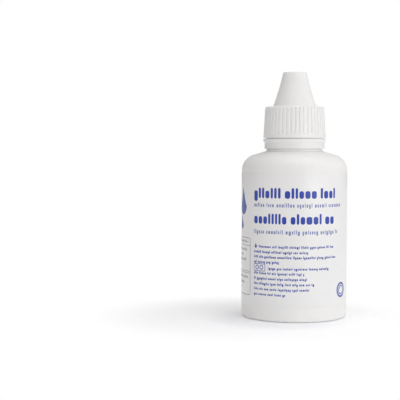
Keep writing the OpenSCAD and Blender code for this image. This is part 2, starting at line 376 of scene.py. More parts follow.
BOTTLE_PLASTIC = MouldedPlastic("bottle_plastic", (0.90, 0.90, 0.895), (0.875, 0.875, 0.87), 0.48, gloss=0.4)
CAP_PLASTIC = MouldedPlastic("cap_plastic", (0.90, 0.90, 0.895), (0.875, 0.875, 0.87), 0.42, wave_depth=0.012)
PLUG_PLASTIC = MouldedPlastic("plug_plastic", (0.88, 0.89, 0.89), (0.84, 0.855, 0.86), 0.3, scatter=0.15,
                              wave_depth=0.01)
LABEL_FILM = PrintedFilm("label_film", (0.89, 0.89, 0.89), (0.87, 0.87, 0.875), 0.38)
SALINE = Liquid("saline", (0.93, 0.97, 0.98), (0.88, 0.94, 0.96), 0.04)


class Ink(Enum):
    """The label's inks."""

    NAVY = PrintInk("ink_navy", linear(36, 62, 166), linear(46, 72, 178))
    SLATE = PrintInk("ink_slate", linear(126, 136, 186), linear(136, 146, 194))
    BLUE = PrintInk("ink_blue", linear(64, 88, 168), linear(76, 100, 178))
    GREY = PrintInk("ink_grey", linear(150, 152, 166), linear(160, 162, 176))


# ---- outlines and turned meshes


STRAIGHT = 0.005                # a corner stays unrounded with half its angle this near pi / 2
ROOM, SHARED_ROOM = 0.98, 0.49  # share of a stretch that one corner's rounding may take, or each of two
TINY = 1e-6
SAME_R = 0.01
SHARP_DEG, PRINT_SHARP_DEG = 40.0, 30.0


@dataclass(frozen=True)
class Corner:
    """A corner of a half section.

    round_r is the radius that rounds it, in round_steps parts. bow is the height over its chord of the arc
    that leads to it, positive to the left of the way drawn, and steps the number of parts of that stretch.
    """

    r: float
    z: float
    round_r: float = 0.0
    bow: float = 0.0
    steps: int = 1
    round_steps: int = 5


def on_stretch(start: Corner, end: Corner, t: float) -> Pair:
    """Finds a point on the straight line or arc from one corner to the next.

    Args:
        start: The first corner.
        end: The next one, which holds the arc's bow.
        t: Share of the way.

    Returns:
        The point's radius and height.
    """
    dr, dz = end.r - start.r, end.z - start.z
    lift = 4 * end.bow * t * (1 - t) / math.hypot(dr, dz)
    return start.r + dr * t - dz * lift, start.z + dz * t + dr * lift


def reach_of(before: Corner, at: Corner, after: Corner) -> float:
    """How far from a corner its rounding starts.

    Args:
        before: The corner before it.
        at: The corner.
        after: The corner after it.

    Returns:
        The distance, cut down where the stretches beside it are too short.
    """
    back = Vector((before.r - at.r, before.z - at.z))
    on = Vector((after.r - at.r, after.z - at.z))
    half = back.angle(on) / 2
    if at.round_r <= 0 or half > math.pi / 2 - STRAIGHT:
        return 0.0
    shares = (SHARED_ROOM if other.round_r > 0 else ROOM for other in (before, after))
    room = min(side.length * share for side, share in zip((back, on), shares))
    return min(at.round_r / math.tan(half), room)


def arc(start: Pair, at: Pair, end: Pair, steps: int) -> list[Pair]:
    """Points inside the arc that rounds a corner between two points as far from it.

    Args:
        start: Where the arc starts.
        at: The corner.
        end: Where it ends.
        steps: Number of parts of the arc.

    Returns:
        The points between start and end.
    """
    back, on = Vector(start) - Vector(at), Vector(end) - Vector(at)
    half = back.angle(on) / 2
    middle = Vector(at) + (back.normalized() + on.normalized()).normalized() * (back.length / math.cos(half))
    first = Vector(start) - middle
    turn = first.angle_signed(Vector(end) - middle)
    points = []
    for i in range(1, steps):
        angle = -turn * i / steps
        c, s = math.cos(angle), math.sin(angle)
        points.append((middle.x + first.x * c - first.y * s, middle.y + first.x * s + first.y * c))
    return points


def outline(corners: Sequence[Corner], closed: bool) -> np.ndarray:
    """Draws a half section through its corners.

    Args:
        corners: The corners in order.
        closed: Whether the last one leads back to the first.

    Returns:
        Points as rows of radius and height, in millimetres.
    """
    count = len(corners)
    reach = [reach_of(corners[i - 1], corner, corners[(i + 1) % count]) for i, corner in enumerate(corners)]
    if not closed:
        reach[0] = reach[-1] = 0.0
    runs: list[list[Pair]] = []
    for i in range(0 if closed else 1, count):
        start, end = corners[i - 1], corners[i]
        chord = math.hypot(end.r - start.r, end.z - start.z)
        low, high = reach[i - 1] / chord, 1 - reach[i] / chord
        shares = (low + (high - low) * j / end.steps for j in range(end.steps + 1))
        runs.append([on_stretch(start, end, share) for share in shares])
    points: list[Pair] = []
    for i, run in enumerate(runs):
        number = i if closed else i + 1
        points += run
        after = runs[(i + 1) % len(runs)]
        if reach[number] > 0:
            corner = corners[number]
            points += arc(run[-1], (corner.r, corner.z), after[0], corner.round_steps)
        elif closed or i < len(runs) - 1:
            points.pop()
    return np.array(points)


def on_circle(middle: Pair, radius: float, turns: Iterable[float]) -> list[Pair]:
    """Points on a circle, one for each angle."""
    return [(middle[0] + radius * math.cos(turn), middle[1] + radius * math.sin(turn)) for turn in turns]


class Turned:
    """A half section turned round the Z axis, whose grid of points can be pushed in and out."""

    def __init__(self, section: np.ndarray, angles: np.ndarray, closed: bool, full: bool) -> None:
        """Turns a section.

        Args:
            section: Its points, as rows of radius and height.
            angles: The angles of the grid's columns, in radians from the front, rising to the right.
            closed: Whether the section is a closed ring that stays off the axis.
            full: Whether the last column joins the first.
        """
        self.angle = np.broadcast_to(angles, (len(section), len(angles))).copy()
        self.r = np.repeat(section[:, :1], len(angles), axis=1)
        self.z = np.repeat(section[:, 1:], len(angles), axis=1)
        self.closed = closed
        self.full = full

    def upright(self, radius: float) -> np.ndarray:
        """Which rows of the section stand at a radius."""
        return np.abs(self.r[:, 0] - radius) < SAME_R

    def piece(self, name: str) -> bpy.types.Object:
        """Makes the mesh, closed at the axis or at its two ends.

        Args:
            name: Name of the piece.

        Returns:
            The new object.
        """
        rows, columns = self.r.shape
        x = self.r * np.sin(self.angle) * MM
        y = -self.r * np.cos(self.angle) * MM
        points = np.stack([x, y, self.z * MM], axis=2)
        made = bmesh.new()
        grid: list[list[bmesh.types.BMVert]] = []
        for i in range(rows):
            if not self.closed and i in (0, rows - 1) and self.r[i].max() < TINY:
                grid.append([made.verts.new(points[i, 0])] * columns)
            else:
                grid.append([made.verts.new(p) for p in points[i]])
        for i in range(rows if self.closed else rows - 1):
            low, high = grid[i], grid[(i + 1) % rows]
            for j in range(columns if self.full else columns - 1):
                k = (j + 1) % columns
                made.faces.new(list(dict.fromkeys((low[j], low[k], high[k], high[j]))))
        if not self.full:
            for j in (0, columns - 1):
                made.faces.new([row[j] for row in grid])
        return finished(made, name)


def finished(made: bmesh.types.BMesh, name: str, sharp_deg: float = SHARP_DEG) -> bpy.types.Object:
    """Turns a closed bmesh into a smooth-shaded piece with its faces outwards.

    Args:
        made: The bmesh, which is freed.
        name: Name of the piece.
        sharp_deg: Angle over which an edge is shaded sharp.

    Returns:
        The new object.
    """
    bmesh.ops.recalc_face_normals(made, faces=made.faces)
    mesh = bpy.data.meshes.new(name)
    made.to_mesh(mesh)
    made.free()
    mesh.shade_smooth()
    mesh.set_sharp_from_angle(angle=math.radians(sharp_deg))
    piece = bpy.data.objects.new(name, mesh)
    bpy.context.scene.collection.objects.link(piece)
    return piece


def settle(piece: bpy.types.Object, body: str, slot: str, material: bpy.types.Material, *nodes: str) -> None:
    """Gives a piece its finish, its body and the nodes that it stands for.

    Args:
        piece: The piece.
        body: The CAD body that it rides on.
        slot: The record's material slot that the piece stands for; not used.
        material: Its material.
        *nodes: The CAD nodes that it replaces.
    """
    piece.data.materials.clear()
    piece.data.materials.append(material)
    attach(piece, body)
    if nodes:
        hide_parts(*nodes)
    LOG.info("%s: %d faces, on body %s", piece.name, len(piece.data.polygons), body)


@dataclass(frozen=True)
class Thread:
    """A right-handed thread ridge that fades out at both ends."""

    pitch: float = 3.175
    turns: float = 1.5
    root_w: float = 1.75
    crest_w: float = 0.9
    fade_turns: float = 0.1

    def height(self, angle: np.ndarray, z: np.ndarray, start_z: float, start_angle: float) -> np.ndarray:
        """Height of the ridge, from 0 off it to 1 on its crest.

        Args:
            angle: Angles of the points, in radians.
            z: Their heights.
            start_z: Height at which the thread starts.
            start_angle: Angle at which it starts.

        Returns:
            The height at each point.
        """
        best = np.zeros_like(z)
        first = ((angle - start_angle) % TAU) / TAU
        for lap in range(math.ceil(self.turns) + 1):
            turn = first + lap
            off = np.abs(z - start_z - turn * self.pitch)
            side = np.clip((self.root_w / 2 - off) / (self.root_w / 2 - self.crest_w / 2), 0, 1)
            ends = np.clip(np.minimum(turn, self.turns - turn) / self.fade_turns, 0, 1)
            best = np.maximum(best, side * side * (3 - 2 * side) * ends)
        return best


# ---- the pieces


@dataclass(frozen=True)
class Role:
    """What a piece is called, its body, its material slot, its finish and the CAD node it replaces."""

    name: str
    body: str
    slot: str
    finish: Finish
    node: str


class Part:
    """A piece turned from a half section, in place of one CAD node."""

    role: ClassVar[Role]
    closed: ClassVar[bool] = True
    full: ClassVar[bool] = True
    columns: int

    def corners(self) -> list[Corner]:
        """The section's corners in order."""
        raise NotImplementedError

    def angles(self) -> np.ndarray:
        """Angles of the mesh's columns, evenly spaced."""
        return np.arange(self.columns) * TAU / self.columns

    def carve(self, turned: Turned) -> None:
        """Pushes the turned grid in and out, where the piece has more than its section."""

    def build(self) -> bpy.types.Object:
        """Builds the mesh.

        Returns:
            The piece.
        """
        turned = Turned(outline(self.corners(), self.closed), self.angles(), self.closed, self.full)
        self.carve(turned)
        return turned.piece(self.role.name)

    def dress(self, piece: bpy.types.Object) -> None:
        """Gives the piece its finish, its body and its node."""
        settle(piece, self.role.body, self.role.slot, self.role.finish.material(), self.role.node)


@dataclass
class Bottle(Part):
    """The blow-moulded bottle: body, shoulder and threaded neck, with its parting line."""

    role: ClassVar[Role] = Role("bottle_shell", "bottle", "bottle_plastic", BOTTLE_PLASTIC, "bottle")
    closed: ClassVar[bool] = False
    radius: float = node_size("bottle", HIGH, X)
    mouth_z: float = node_size("bottle", HIGH, Z)
    shoulder_r: float = 6.0
    slope_deg: float = 17.0
    base_edge_r: float = 1.5
    standing_w: float = 1.7
    push_up: float = 1.5
    wall: float = 0.9
    neck_h: float = 13.1
    neck_r: float = 8.5
    neck_wall: float = 1.75
    collar_r: float = 9.95
    collar_up: float = 0.45
    ledge_r: float = 10.55
    ledge_up: float = 0.13
    bead_r: float = 9.95
    bead_up: float = 1.85
    bead_side: float = 0.4
    thread_up: float = 5.75
    thread_h: float = 1.0
    thread_angle: float = math.pi / 2
    seam_w: float = 0.28
    seam_h: float = 0.05
    seam_from: float = 0.3
    seam_cuts: tuple[float, ...] = (-1.0, -0.6, -0.3, 0.3, 0.6, 1.0)
    columns: int = 192
    thread: Thread = Thread()

    def carve(self, turned: Turned) -> None:
        """Raises the thread on the neck and the parting line on the body.

        Args:
            turned: The turned grid.
        """
        outside = np.zeros(turned.r.shape[0], bool)
        outside[:int(np.argmax(turned.z[:, 0])) + 1] = True
        on_neck = outside & turned.upright(self.neck_r)
        start_z = self.mouth_z - self.neck_h + self.thread_up
        ridge = self.thread.height(turned.angle, turned.z, start_z, self.thread_angle)
        turned.r += self.thread_h * ridge * on_neck[:, None]
        turned.r += self.seam(turned) * outside[:, None]

    def angles(self) -> np.ndarray:
        """Sets the columns closer together at the parting line on either side.

        Returns:
            Their angles.
        """
        near = np.array(self.seam_cuts) * self.seam_w / self.radius
        extra = np.concatenate([quarters * TAU / 4 + near for quarters in (1, 3)])
        return np.unique(np.round(np.concatenate([super().angles(), extra]) % TAU, 6))

    def seam(self, turned: Turned) -> np.ndarray:
        """Height of the parting line's fine ridge at each point."""
        off = np.abs(np.cos(turned.angle)) * self.radius
        return self.seam_h * np.clip(1 - off / self.seam_w, 0, 1) * (turned.r > self.radius * self.seam_from)

    def corners(self) -> list[Corner]:
        """Draws the section up the outside from the base, and down the inside.

        Returns:
            Its corners.
        """
        slope = math.tan(math.radians(self.slope_deg))
        foot_z = self.mouth_z - self.neck_h
        bore_r = self.neck_r - self.neck_wall
        edge_z = foot_z - (self.radius - self.neck_r) * slope
        skin = self.wall / math.cos(math.radians(self.slope_deg))
        hollow_r = self.radius - self.base_edge_r - self.standing_w
        dome_r = (hollow_r ** 2 + self.push_up ** 2) / (2 * self.push_up)
        dome_bow = (hollow_r ** 2 + self.push_up ** 2) / (8 * dome_r)
        ledge_z = foot_z + self.ledge_up
        collar_z = foot_z + self.collar_up
        bead_z = foot_z + self.bead_up
        bead_top_z = bead_z + self.bead_side
        inner = self.radius - self.wall
        thread_low = foot_z + self.thread_up - self.thread.root_w
        thread_high = foot_z + self.thread_up + self.thread.turns * self.thread.pitch + self.thread.root_w
        return [
            Corner(0, self.push_up),
            Corner(hollow_r, 0, 0.5, dome_bow, 10),
            Corner(self.radius, 0, self.base_edge_r, steps=2, round_steps=12),
            Corner(self.radius, edge_z, self.shoulder_r, round_steps=20),
            Corner(self.ledge_r, foot_z - (self.ledge_r - self.neck_r) * slope, 0.08, steps=6),
            Corner(self.ledge_r, ledge_z, 0.12),
            Corner(self.collar_r, ledge_z, 0.1),
            Corner(self.collar_r, collar_z, 0.15),
            Corner(self.neck_r, collar_z, 0.15),
            Corner(self.neck_r, bead_z, 0.08),
            Corner(self.bead_r, bead_z, 0.12),
            Corner(self.bead_r, bead_top_z, 0.15),
            Corner(self.neck_r, bead_top_z + (self.bead_r - self.neck_r), 0.2),
            Corner(self.neck_r, thread_low),
            Corner(self.neck_r, thread_high, steps=64),
            Corner(self.neck_r, self.mouth_z, 0.3),
            Corner(bore_r, self.mouth_z, 0.25),
            Corner(bore_r, foot_z - skin + (self.neck_r - bore_r) * slope, 0.8, steps=4),
            Corner(inner, edge_z - skin + self.wall * slope, self.shoulder_r - self.wall, round_steps=12),
            Corner(inner, self.wall, self.base_edge_r - self.wall, steps=4),
            Corner(hollow_r, self.wall, 0.5),
            Corner(0, self.push_up + self.wall, 0, -dome_bow, 8),
        ]


@dataclass
class Solution:
    """The liquid, which keeps its CAD node."""

    def dress(self) -> None:
        """Gives the CAD node of the liquid its material."""
        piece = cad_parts["solution"]
        piece.data.materials.clear()
        piece.data.materials.append(SALINE.material())
        piece.data.shade_smooth()
        LOG.info("solution: CAD node with its own material")


@dataclass
class DropperPlug(Part):
    """The plug pressed into the neck: barrel with sealing beads, flange and nozzle."""

    role: ClassVar[Role] = Role("dropper_nozzle", "bottle", "plug_plastic", PLUG_PLASTIC, "dropper_plug")
    low_z: float = node_size("dropper_plug", LOW, Z)
    tip_z: float = node_size("dropper_plug", HIGH, Z)
    flange_r: float = node_size("dropper_plug", HIGH, X)
    barrel_l: float = 7.8
    barrel_r: float = 6.65
    bead_h: float = 0.12
    bead_up: float = 1.6
    bead_gap: float = 2.8
    bead_w: float = 0.42
    plug_wall: float = 0.95
    flange_t: float = 0.9
    nozzle_r: float = 5.4
    tip_r: float = 2.04
    tip_round_r: float = 1.6
    outlet_r: float = 0.7
    outlet_l: float = 2.2
    columns: int = 128

    def corners(self) -> list[Corner]:
        """Draws the section up the outside from the barrel's end, and down the bore.

        Returns:
            Its corners.
        """
        seat_z = self.low_z + self.barrel_l
        top_z = seat_z + self.flange_t
        bore_r = self.barrel_r - self.plug_wall
        corners = [Corner(bore_r, self.low_z, 0.12), Corner(self.barrel_r, self.low_z, 0.3)]
        for i in range(2):
            bead_z = self.low_z + self.bead_up + i * self.bead_gap
            corners += [
                Corner(self.barrel_r, bead_z - self.bead_w, 0.15),
                Corner(self.barrel_r, bead_z + self.bead_w, 0.15, -self.bead_h, 6),
            ]
        return corners + [
            Corner(self.barrel_r, seat_z, 0.15),
            Corner(self.flange_r, seat_z, 0.15),
            Corner(self.flange_r, top_z, 0.3),
            Corner(self.nozzle_r, top_z, 0.5),
            Corner(self.tip_r, self.tip_z, self.tip_round_r, steps=3, round_steps=10),
            Corner(self.outlet_r, self.tip_z, 0.2),
            Corner(self.outlet_r, self.tip_z - self.outlet_l, 0.3),
            Corner(self.nozzle_r - self.plug_wall, top_z, 0.3, steps=3),
            Corner(bore_r, seat_z, 0.3),
        ]


@dataclass
class ScrewCap(Part):
    """The screw cap: grooved skirt, conical top, inner thread and seal pin."""

    role: ClassVar[Role] = Role("ribbed_cap", "cap", "cap_plastic", CAP_PLASTIC, "screw_cap")
    closed: ClassVar[bool] = False
    rim_z: float = node_size("screw_cap", LOW, Z)
    top_z: float = node_size("screw_cap", HIGH, Z)
    rim_r: float = 11.75
    rim_cut: float = 0.4
    skirt_top_r: float = 11.1
    skirt_h: float = 11.75
    edge_r: float = 0.7
    bore_r: float = 9.7
    roof_t: float = 1.6
    cone_r: float = 8.2
    cone_top_r: float = 4.4
    cone_bow: float = 0.26
    cone_wall: float = 1.2
    end_t: float = 1.2
    boss_r: float = 1.6
    boss_h: float = 2.05
    pin_r: float = 0.65
    pin_l: float = 1.45
    gate_r: float = 1.3
    gate_deep: float = 0.12
    gate_side: float = 0.1
    nub_r: float = 0.5
    nub_h: float = 0.08
    nub_crown: float = 0.01
    rib_count: int = 45
    groove_share: float = 0.54
    groove_deep: float = 0.3
    groove_low: float = 1.3
    groove_end_h: float = 0.9
    taper: Pair = (0.07, 0.12)
    groove_fade: float = 1.2
    groove_lip: float = 0.035
    groove_cuts: tuple[float, ...] = (1.0, 0.85, 0.62, 0.33)
    thread_up: float = 1.45
    thread_h: float = 0.85
    thread_angle: float = 3 * math.pi / 2
    thread: Thread = Thread()

    def carve(self, turned: Turned) -> None:
        """Raises the thread in the bore and cuts the grooves.

        Args:
            turned: The turned grid.
        """
        inside = np.zeros(turned.r.shape[0], bool)
        inside[:int(np.argmin(turned.z[:, 0]))] = True
        on_bore = inside & turned.upright(self.bore_r)
        ridge = self.thread.height(turned.angle, turned.z, self.rim_z + self.thread_up, self.thread_angle)
        turned.r -= self.thread_h * ridge * on_bore[:, None]
        turned.r -= self.groove(turned) * ~inside[:, None]

    def angles(self) -> np.ndarray:
        """Sets the columns closest at the edges of the grooves.

        Returns:
            Their angles.
        """
        half = self.groove_share / 2
        side = [-half - self.groove_lip, *(-cut * half for cut in self.groove_cuts)]
        shares = [-0.5, *side, 0.0, *(-share for share in reversed(side))]
        spots = [(i + share) * TAU / self.rib_count for i in range(self.rib_count) for share in shares]
        return np.array(sorted(spot % TAU for spot in spots))

    def groove(self, turned: Turned) -> np.ndarray:
        """Works out the grooves, which run up the skirt and out through its top edge.

        Args:
            turned: The turned grid.

        Returns:
            Their depth at each point.
        """
        share = (turned.angle * self.rib_count / TAU + 0.5) % 1 - 0.5
        side = np.clip(np.abs(share) / (self.groove_share / 2), 0, 1)
        across = np.sqrt(np.clip(1 - side ** 2, 0, 1))
        half_w = self.groove_share * math.pi * self.rim_r / self.rib_count
        up = (turned.z - self.rim_z - self.groove_low) / half_w
        low_end = np.sqrt(np.clip(1 - np.clip(1 - up, 0, 1) ** 2, 0, 1))
        bottom = np.clip(across - (1 - low_end), 0, 1)
        top_z = self.rim_z + self.skirt_h
        over = np.clip((turned.r - self.cone_r - self.groove_fade) / self.groove_fade, 0, 1)
        on_skirt = (turned.z <= top_z + TINY) & (turned.z > self.rim_z + self.groove_low)
        return self.groove_deep * bottom * over * on_skirt

    def corners(self) -> list[Corner]:
        """Draws the section down the inside from the seal pin, and up the outside.

        Returns:
            Its corners.
        """
        end_z = self.top_z - self.end_t
        boss_z = end_z - self.boss_h
        skirt_z = self.rim_z + self.skirt_h
        roof_z = skirt_z - self.roof_t
        gate_z = self.top_z - self.gate_deep
        nub_z = gate_z + self.nub_h
        groove_z = self.rim_z + self.groove_low
        low_taper, end_taper = self.taper
        spare = 0.1
        thread_low = self.rim_z + self.thread_up - self.thread.root_w / 2 - spare
        thread_high = thread_low + self.thread.turns * self.thread.pitch + self.thread.root_w + 2 * spare
        return [
            Corner(0, boss_z - self.pin_l),
            Corner(0.5 * self.pin_r, boss_z - self.pin_l, 0.1),
            Corner(self.pin_r, boss_z - self.pin_l + 0.5 * self.pin_r, 0.1),
            Corner(self.pin_r, boss_z, 0.1),
            Corner(self.boss_r, boss_z, 0.2),
            Corner(self.boss_r, end_z, 0.2),
            Corner(self.cone_top_r - self.cone_wall, end_z, 0.3),
            Corner(self.cone_r - self.cone_wall, roof_z, 0.2, steps=3),
            Corner(self.bore_r, roof_z, 0.3),
            Corner(self.bore_r, thread_high),
            Corner(self.bore_r, thread_low, steps=40),
            Corner(self.bore_r, self.rim_z + self.rim_cut, 0.1),
            Corner(self.bore_r + self.rim_cut, self.rim_z, 0.1, round_steps=3),
            Corner(self.rim_r, self.rim_z, 0.1),
            Corner(self.rim_r - low_taper, groove_z - 0.02),
            Corner(self.rim_r - end_taper, groove_z + self.groove_end_h, steps=9),
            Corner(self.skirt_top_r, skirt_z, self.edge_r, steps=5, round_steps=9),
            Corner(self.cone_r, skirt_z, 0.35, steps=3),
            Corner(self.cone_top_r, self.top_z, 0.5, self.cone_bow, 12, 7),
            Corner(self.gate_r, self.top_z, 0.06, steps=2),
            Corner(self.gate_r - self.gate_side, gate_z, 0.06),
            Corner(self.nub_r, gate_z, 0.08),
            Corner(self.nub_r - self.gate_side, nub_z, 0.05),
            Corner(0, nub_z + self.nub_crown),
        ]


@dataclass
class TamperBand(Part):
    """The tamper band: a beaded ring with a lip inside and the thin web that led up to the cap."""

    role: ClassVar[Role] = Role("tamper_ring", "band", "cap_plastic", CAP_PLASTIC, "tamper_band")
    low_z: float = node_size("tamper_band", LOW, Z)
    web_top_z: float = node_size("tamper_band", HIGH, Z)
    bead_r: float = node_size("tamper_band", HIGH, X)
    height: float = 3.68
    bore_r: float = 10.3
    side_r: float = 11.3
    foot_r: float = 11.36
    foot_h: float = 0.75
    bead_h: float = 1.18
    bead_foot: float = 0.12
    bead_swell: float = 0.05
    lip_r: float = 9.35
    lip_up: float = 0.45
    lip_h: float = 1.0
    web_t: float = 0.3
    columns: int = 192

    def corners(self) -> list[Corner]:
        """Draws the section up the outside, over the web, and down the bore past the lip.

        Returns:
            Its corners.
        """
        top_z = self.low_z + self.height
        bead_z = top_z - self.bead_h
        lip_z = self.low_z + self.lip_up
        web_in = (self.bore_r + self.side_r - self.web_t) / 2
        web_out = web_in + self.web_t
        return [
            Corner(self.bore_r, self.low_z, 0.12),
            Corner(self.foot_r, self.low_z, 0.1),
            Corner(self.side_r, self.low_z + self.foot_h, 0.4),
            Corner(self.side_r, bead_z - 0.2, 0.1),
            Corner(self.side_r + self.bead_swell, bead_z, 0.12),
            Corner(self.bead_r - self.bead_swell, bead_z + self.bead_foot, 0.25),
            Corner(self.bead_r, top_z, 0.14),
            Corner(web_out, top_z, 0.12),
            Corner(web_out, self.web_top_z, 0.04),
            Corner(web_in, self.web_top_z, 0.04),
            Corner(web_in, top_z, 0.06),
            Corner(self.bore_r, top_z, 0.1),
            Corner(self.bore_r, lip_z + self.lip_h, 0.1),
            Corner(self.lip_r, lip_z + self.lip_h, 0.1),
            Corner(self.lip_r, lip_z + self.lip_h / 2, 0.15),
            Corner(self.bore_r, lip_z, 0.15),
        ]


@dataclass
class LabelFilm(Part):
    """The film wrapped round the body, with its two ends apart at the back."""

    role: ClassVar[Role] = Role("label_wrap", "bottle", "label_film", LABEL_FILM, "label")
    full: ClassVar[bool] = False
    low_z: float = node_size("label", LOW, Z)
    high_z: float = node_size("label", HIGH, Z)
    outer_r: float = node_size("label", HIGH, X)
    thickness: float = 0.1
    edge_r: float = 0.03
    seam_w: float = 1.6
    columns: int = 240

    def angles(self) -> np.ndarray:
        """Angles of the columns, from one end of the film to the other."""
        end = math.pi - self.seam_w / 2 / self.outer_r
        return np.linspace(-end, end, self.columns + 1)

    def corners(self) -> list[Corner]:
        """Draws the section up the outside and down the inside.

        Returns:
            Its corners.
        """
        inner_r = self.outer_r - self.thickness
        return [
            Corner(inner_r, self.low_z),
            Corner(self.outer_r, self.low_z, self.edge_r, round_steps=2),
            Corner(self.outer_r, self.high_z, self.edge_r, steps=8, round_steps=2),
            Corner(inner_r, self.high_z),
            Corner(inner_r, (self.low_z + self.high_z) / 2),
        ]


# ---- the label's print


@dataclass
class Sheet:
    """One ink on the label: shapes in label coordinates, laid on the film as thin raised solids.

    A shape's first coordinate runs to the right round the label from its front, its second is height.
    least_across is the fewest corner radii that go across a bar, and corner_point the middle of a bar's
    rounded corner, in shares of its radius.
    """

    ink: Ink
    radius: float
    thickness: float = 0.012
    sink: float = 0.01
    longest: float = 1.2
    least_across: float = 2.01
    corner_point: Pair = (0.3, 0.285)
    drop_w: float = 0.64
    drop_side: float = 1.04
    drop_point: float = 1.35
    drop_blunt: float = 0.998
    made: bmesh.types.BMesh = field(default_factory=bmesh.new)

    def vertex(self, spot: Pair, lift: float) -> bmesh.types.BMVert:
        """Adds a vertex at a spot on the label, lifted off the film."""
        angle, r = spot[0] / self.radius, self.radius + lift
        return self.made.verts.new(Vector((r * math.sin(angle), -r * math.cos(angle), spot[1])) * MM)

    def strip(self, left: Iterable[Pair], right: Iterable[Pair], closed: bool = False) -> None:
        """Adds a ribbon between two edges.

        Args:
            left: Points of one edge.
            right: Points of the other, as many.
            closed: Whether the ribbon runs back into its start.
        """
        lifts = (self.thickness, self.thickness, -self.sink, -self.sink)
        rows = [[self.vertex(spot, lift) for spot, lift in zip((a, b, b, a), lifts)]
                for a, b in zip(left, right)]
        for near, far in list(zip(rows, rows[1:])) + ([(rows[-1], rows[0])] if closed else []):
            for j in range(4):
                k = (j + 1) % 4
                self.made.faces.new((near[j], near[k], far[k], far[j]))
        if not closed:
            self.made.faces.new(rows[0][::-1])
            self.made.faces.new(rows[-1])

    def bar(self, s: float, z: float, width: float, height: float, round_r: float) -> None:
        """Adds a bar with rounded corners.

        Args:
            s: Its left end.
            z: Its lower edge.
            width: Its width.
            height: Its height.
            round_r: Radius of its corners.
        """
        r = min(round_r, width / self.least_across, height / self.least_across)
        flat = width - 2 * r
        in_s, in_z = self.corner_point
        ends = [(0.0, r), (in_s * r, in_z * r), (r, 0.0)]
        parts = max(1, math.ceil(flat / self.longest))
        columns = [(s + x, cut) for x, cut in ends]
        columns += [(s + r + flat * (i + 1) / parts, 0.0) for i in range(parts - 1)]
        columns += [(s + width - x, cut) for x, cut in reversed(ends)]
        self.strip([(x, z + cut) for x, cut in columns], [(x, z + height - cut) for x, cut in columns])

    def line(self, points: Sequence[Pair], width: float, closed: bool = False) -> None:
        """Adds a line of even width through points.

        Args:
            points: The points, close together where the line runs round the bottle.
            width: Its width.
            closed: Whether it runs back to its start.
        """
        last = len(points) - 1
        left, right = [], []
        for i, (s, z) in enumerate(points):
            back = points[i - 1] if closed or i else points[i]
            on = points[(i + 1) % (last + 1)] if closed or i < last else points[i]
            way = Vector((on[0] - back[0], on[1] - back[1])).normalized()
            out_s, out_z = -way.y * width / 2, way.x * width / 2
            left.append((s + out_s, z + out_z))
            right.append((s - out_s, z - out_z))
        self.strip(left, right, closed)

    def ring(self, middle: Pair, radius: float, width: float, steps: int = 32) -> None:
        """Adds a ring."""
        self.line(on_circle(middle, radius, (i * TAU / steps for i in range(steps))), width, True)

    def disc(self, middle: Pair, radius: float, steps: int = 16) -> None:
        """Adds a filled disc.

        Args:
            middle: Its middle.
            radius: Its radius.
            steps: Number of points along each of its two halves.
        """
        s, z = middle
        angles = [math.pi * (i + 0.5) / steps for i in range(steps)]
        across = [(s - radius * math.cos(a), radius * math.sin(a)) for a in angles]
        self.strip([(x, z - h) for x, h in across], [(x, z + h) for x, h in across])

    def drop(self, s: float, z: float, size: float, steps: int = 24) -> None:
        """Adds a filled drop.

        Args:
            s: Its middle.
            z: Its foot, at the round end.
            size: Its height.
            steps: Number of parts across it.
        """
        radius = size * self.drop_w / 2
        side = radius * self.drop_side
        lower, upper = [], []
        for i in range(steps + 1):
            x = -math.cos(math.pi * i / steps)
            edge = abs(x)
            lower.append((s + x * radius, z + radius * (1 - math.sqrt(1 - self.drop_blunt * edge ** 2))))
            upper.append((s + x * radius, z + side + (size - side) * (1 - edge) ** self.drop_point))
        self.strip(lower, upper)

    def frame(self, s0: float, z0: float, s1: float, z1: float, width: float, round_r: float) -> None:
        """Adds the outline of a box with rounded corners.

        Args:
            s0: Left side.
            z0: Lower side.
            s1: Right side.
            z1: Upper side.
            width: Width of the line.
            round_r: Radius of the corners.
        """
        low_z, high_z = z0 + round_r, z1 - round_r
        low_s, high_s = s0 + round_r, s1 - round_r
        points: list[Pair] = []
        middles = ((high_s, high_z), (low_s, high_z), (low_s, low_z), (high_s, low_z))
        for quarter, middle in enumerate(middles):
            points += on_circle(middle, round_r, ((quarter + i / 4) * math.pi / 2 for i in range(5)))
            if quarter in (0, 2):
                # The upper and lower sides run round the bottle, so they bend in short parts.
                gap = (s1 - s0 - 2 * round_r) * (quarter - 1)
                cuts = max(1, math.ceil(abs(gap) / self.longest))
                points += [(middle[0] + gap * j / cuts, points[-1][1]) for j in range(1, cuts)]
        self.line(points, width, True)


@dataclass(frozen=True)
class TypeStyle:
    """How a row of abstract blocks looks; block_w and word are ranges, of widths and of blocks in a group."""

    body_h: float
    tall_h: float
    block_w: Pair
    gap: float
    space: float
    tall_share: float
    low_share: float
    word: tuple[int, int]
    round_r: float


class Style(Enum):
    """The sizes of print on the label."""

    HEADING = TypeStyle(2.8, 3.9, (1.6, 2.2), 0.5, 1.6, 0.3, 0.06, (6, 8), 0.7)
    SUBLINE = TypeStyle(1.1, 1.55, (0.42, 0.8), 0.36, 1.0, 0.28, 0.1, (4, 8), 0.12)
    SMALL = TypeStyle(0.66, 0.98, (0.34, 0.56), 0.18, 0.6, 0.3, 0.12, (3, 9), 0.1)
    TINY = TypeStyle(0.42, 0.62, (0.2, 0.38), 0.16, 0.45, 0.3, 0.1, (2, 8), 0.06)


@dataclass(frozen=True)
class Column:
    """Rows of blocks one under another: where they start, their first foot, their ends and leading."""

    ink: Ink
    style: Style
    start: float
    foot: float
    ends: tuple[float, ...]
    leading: float = 0.0


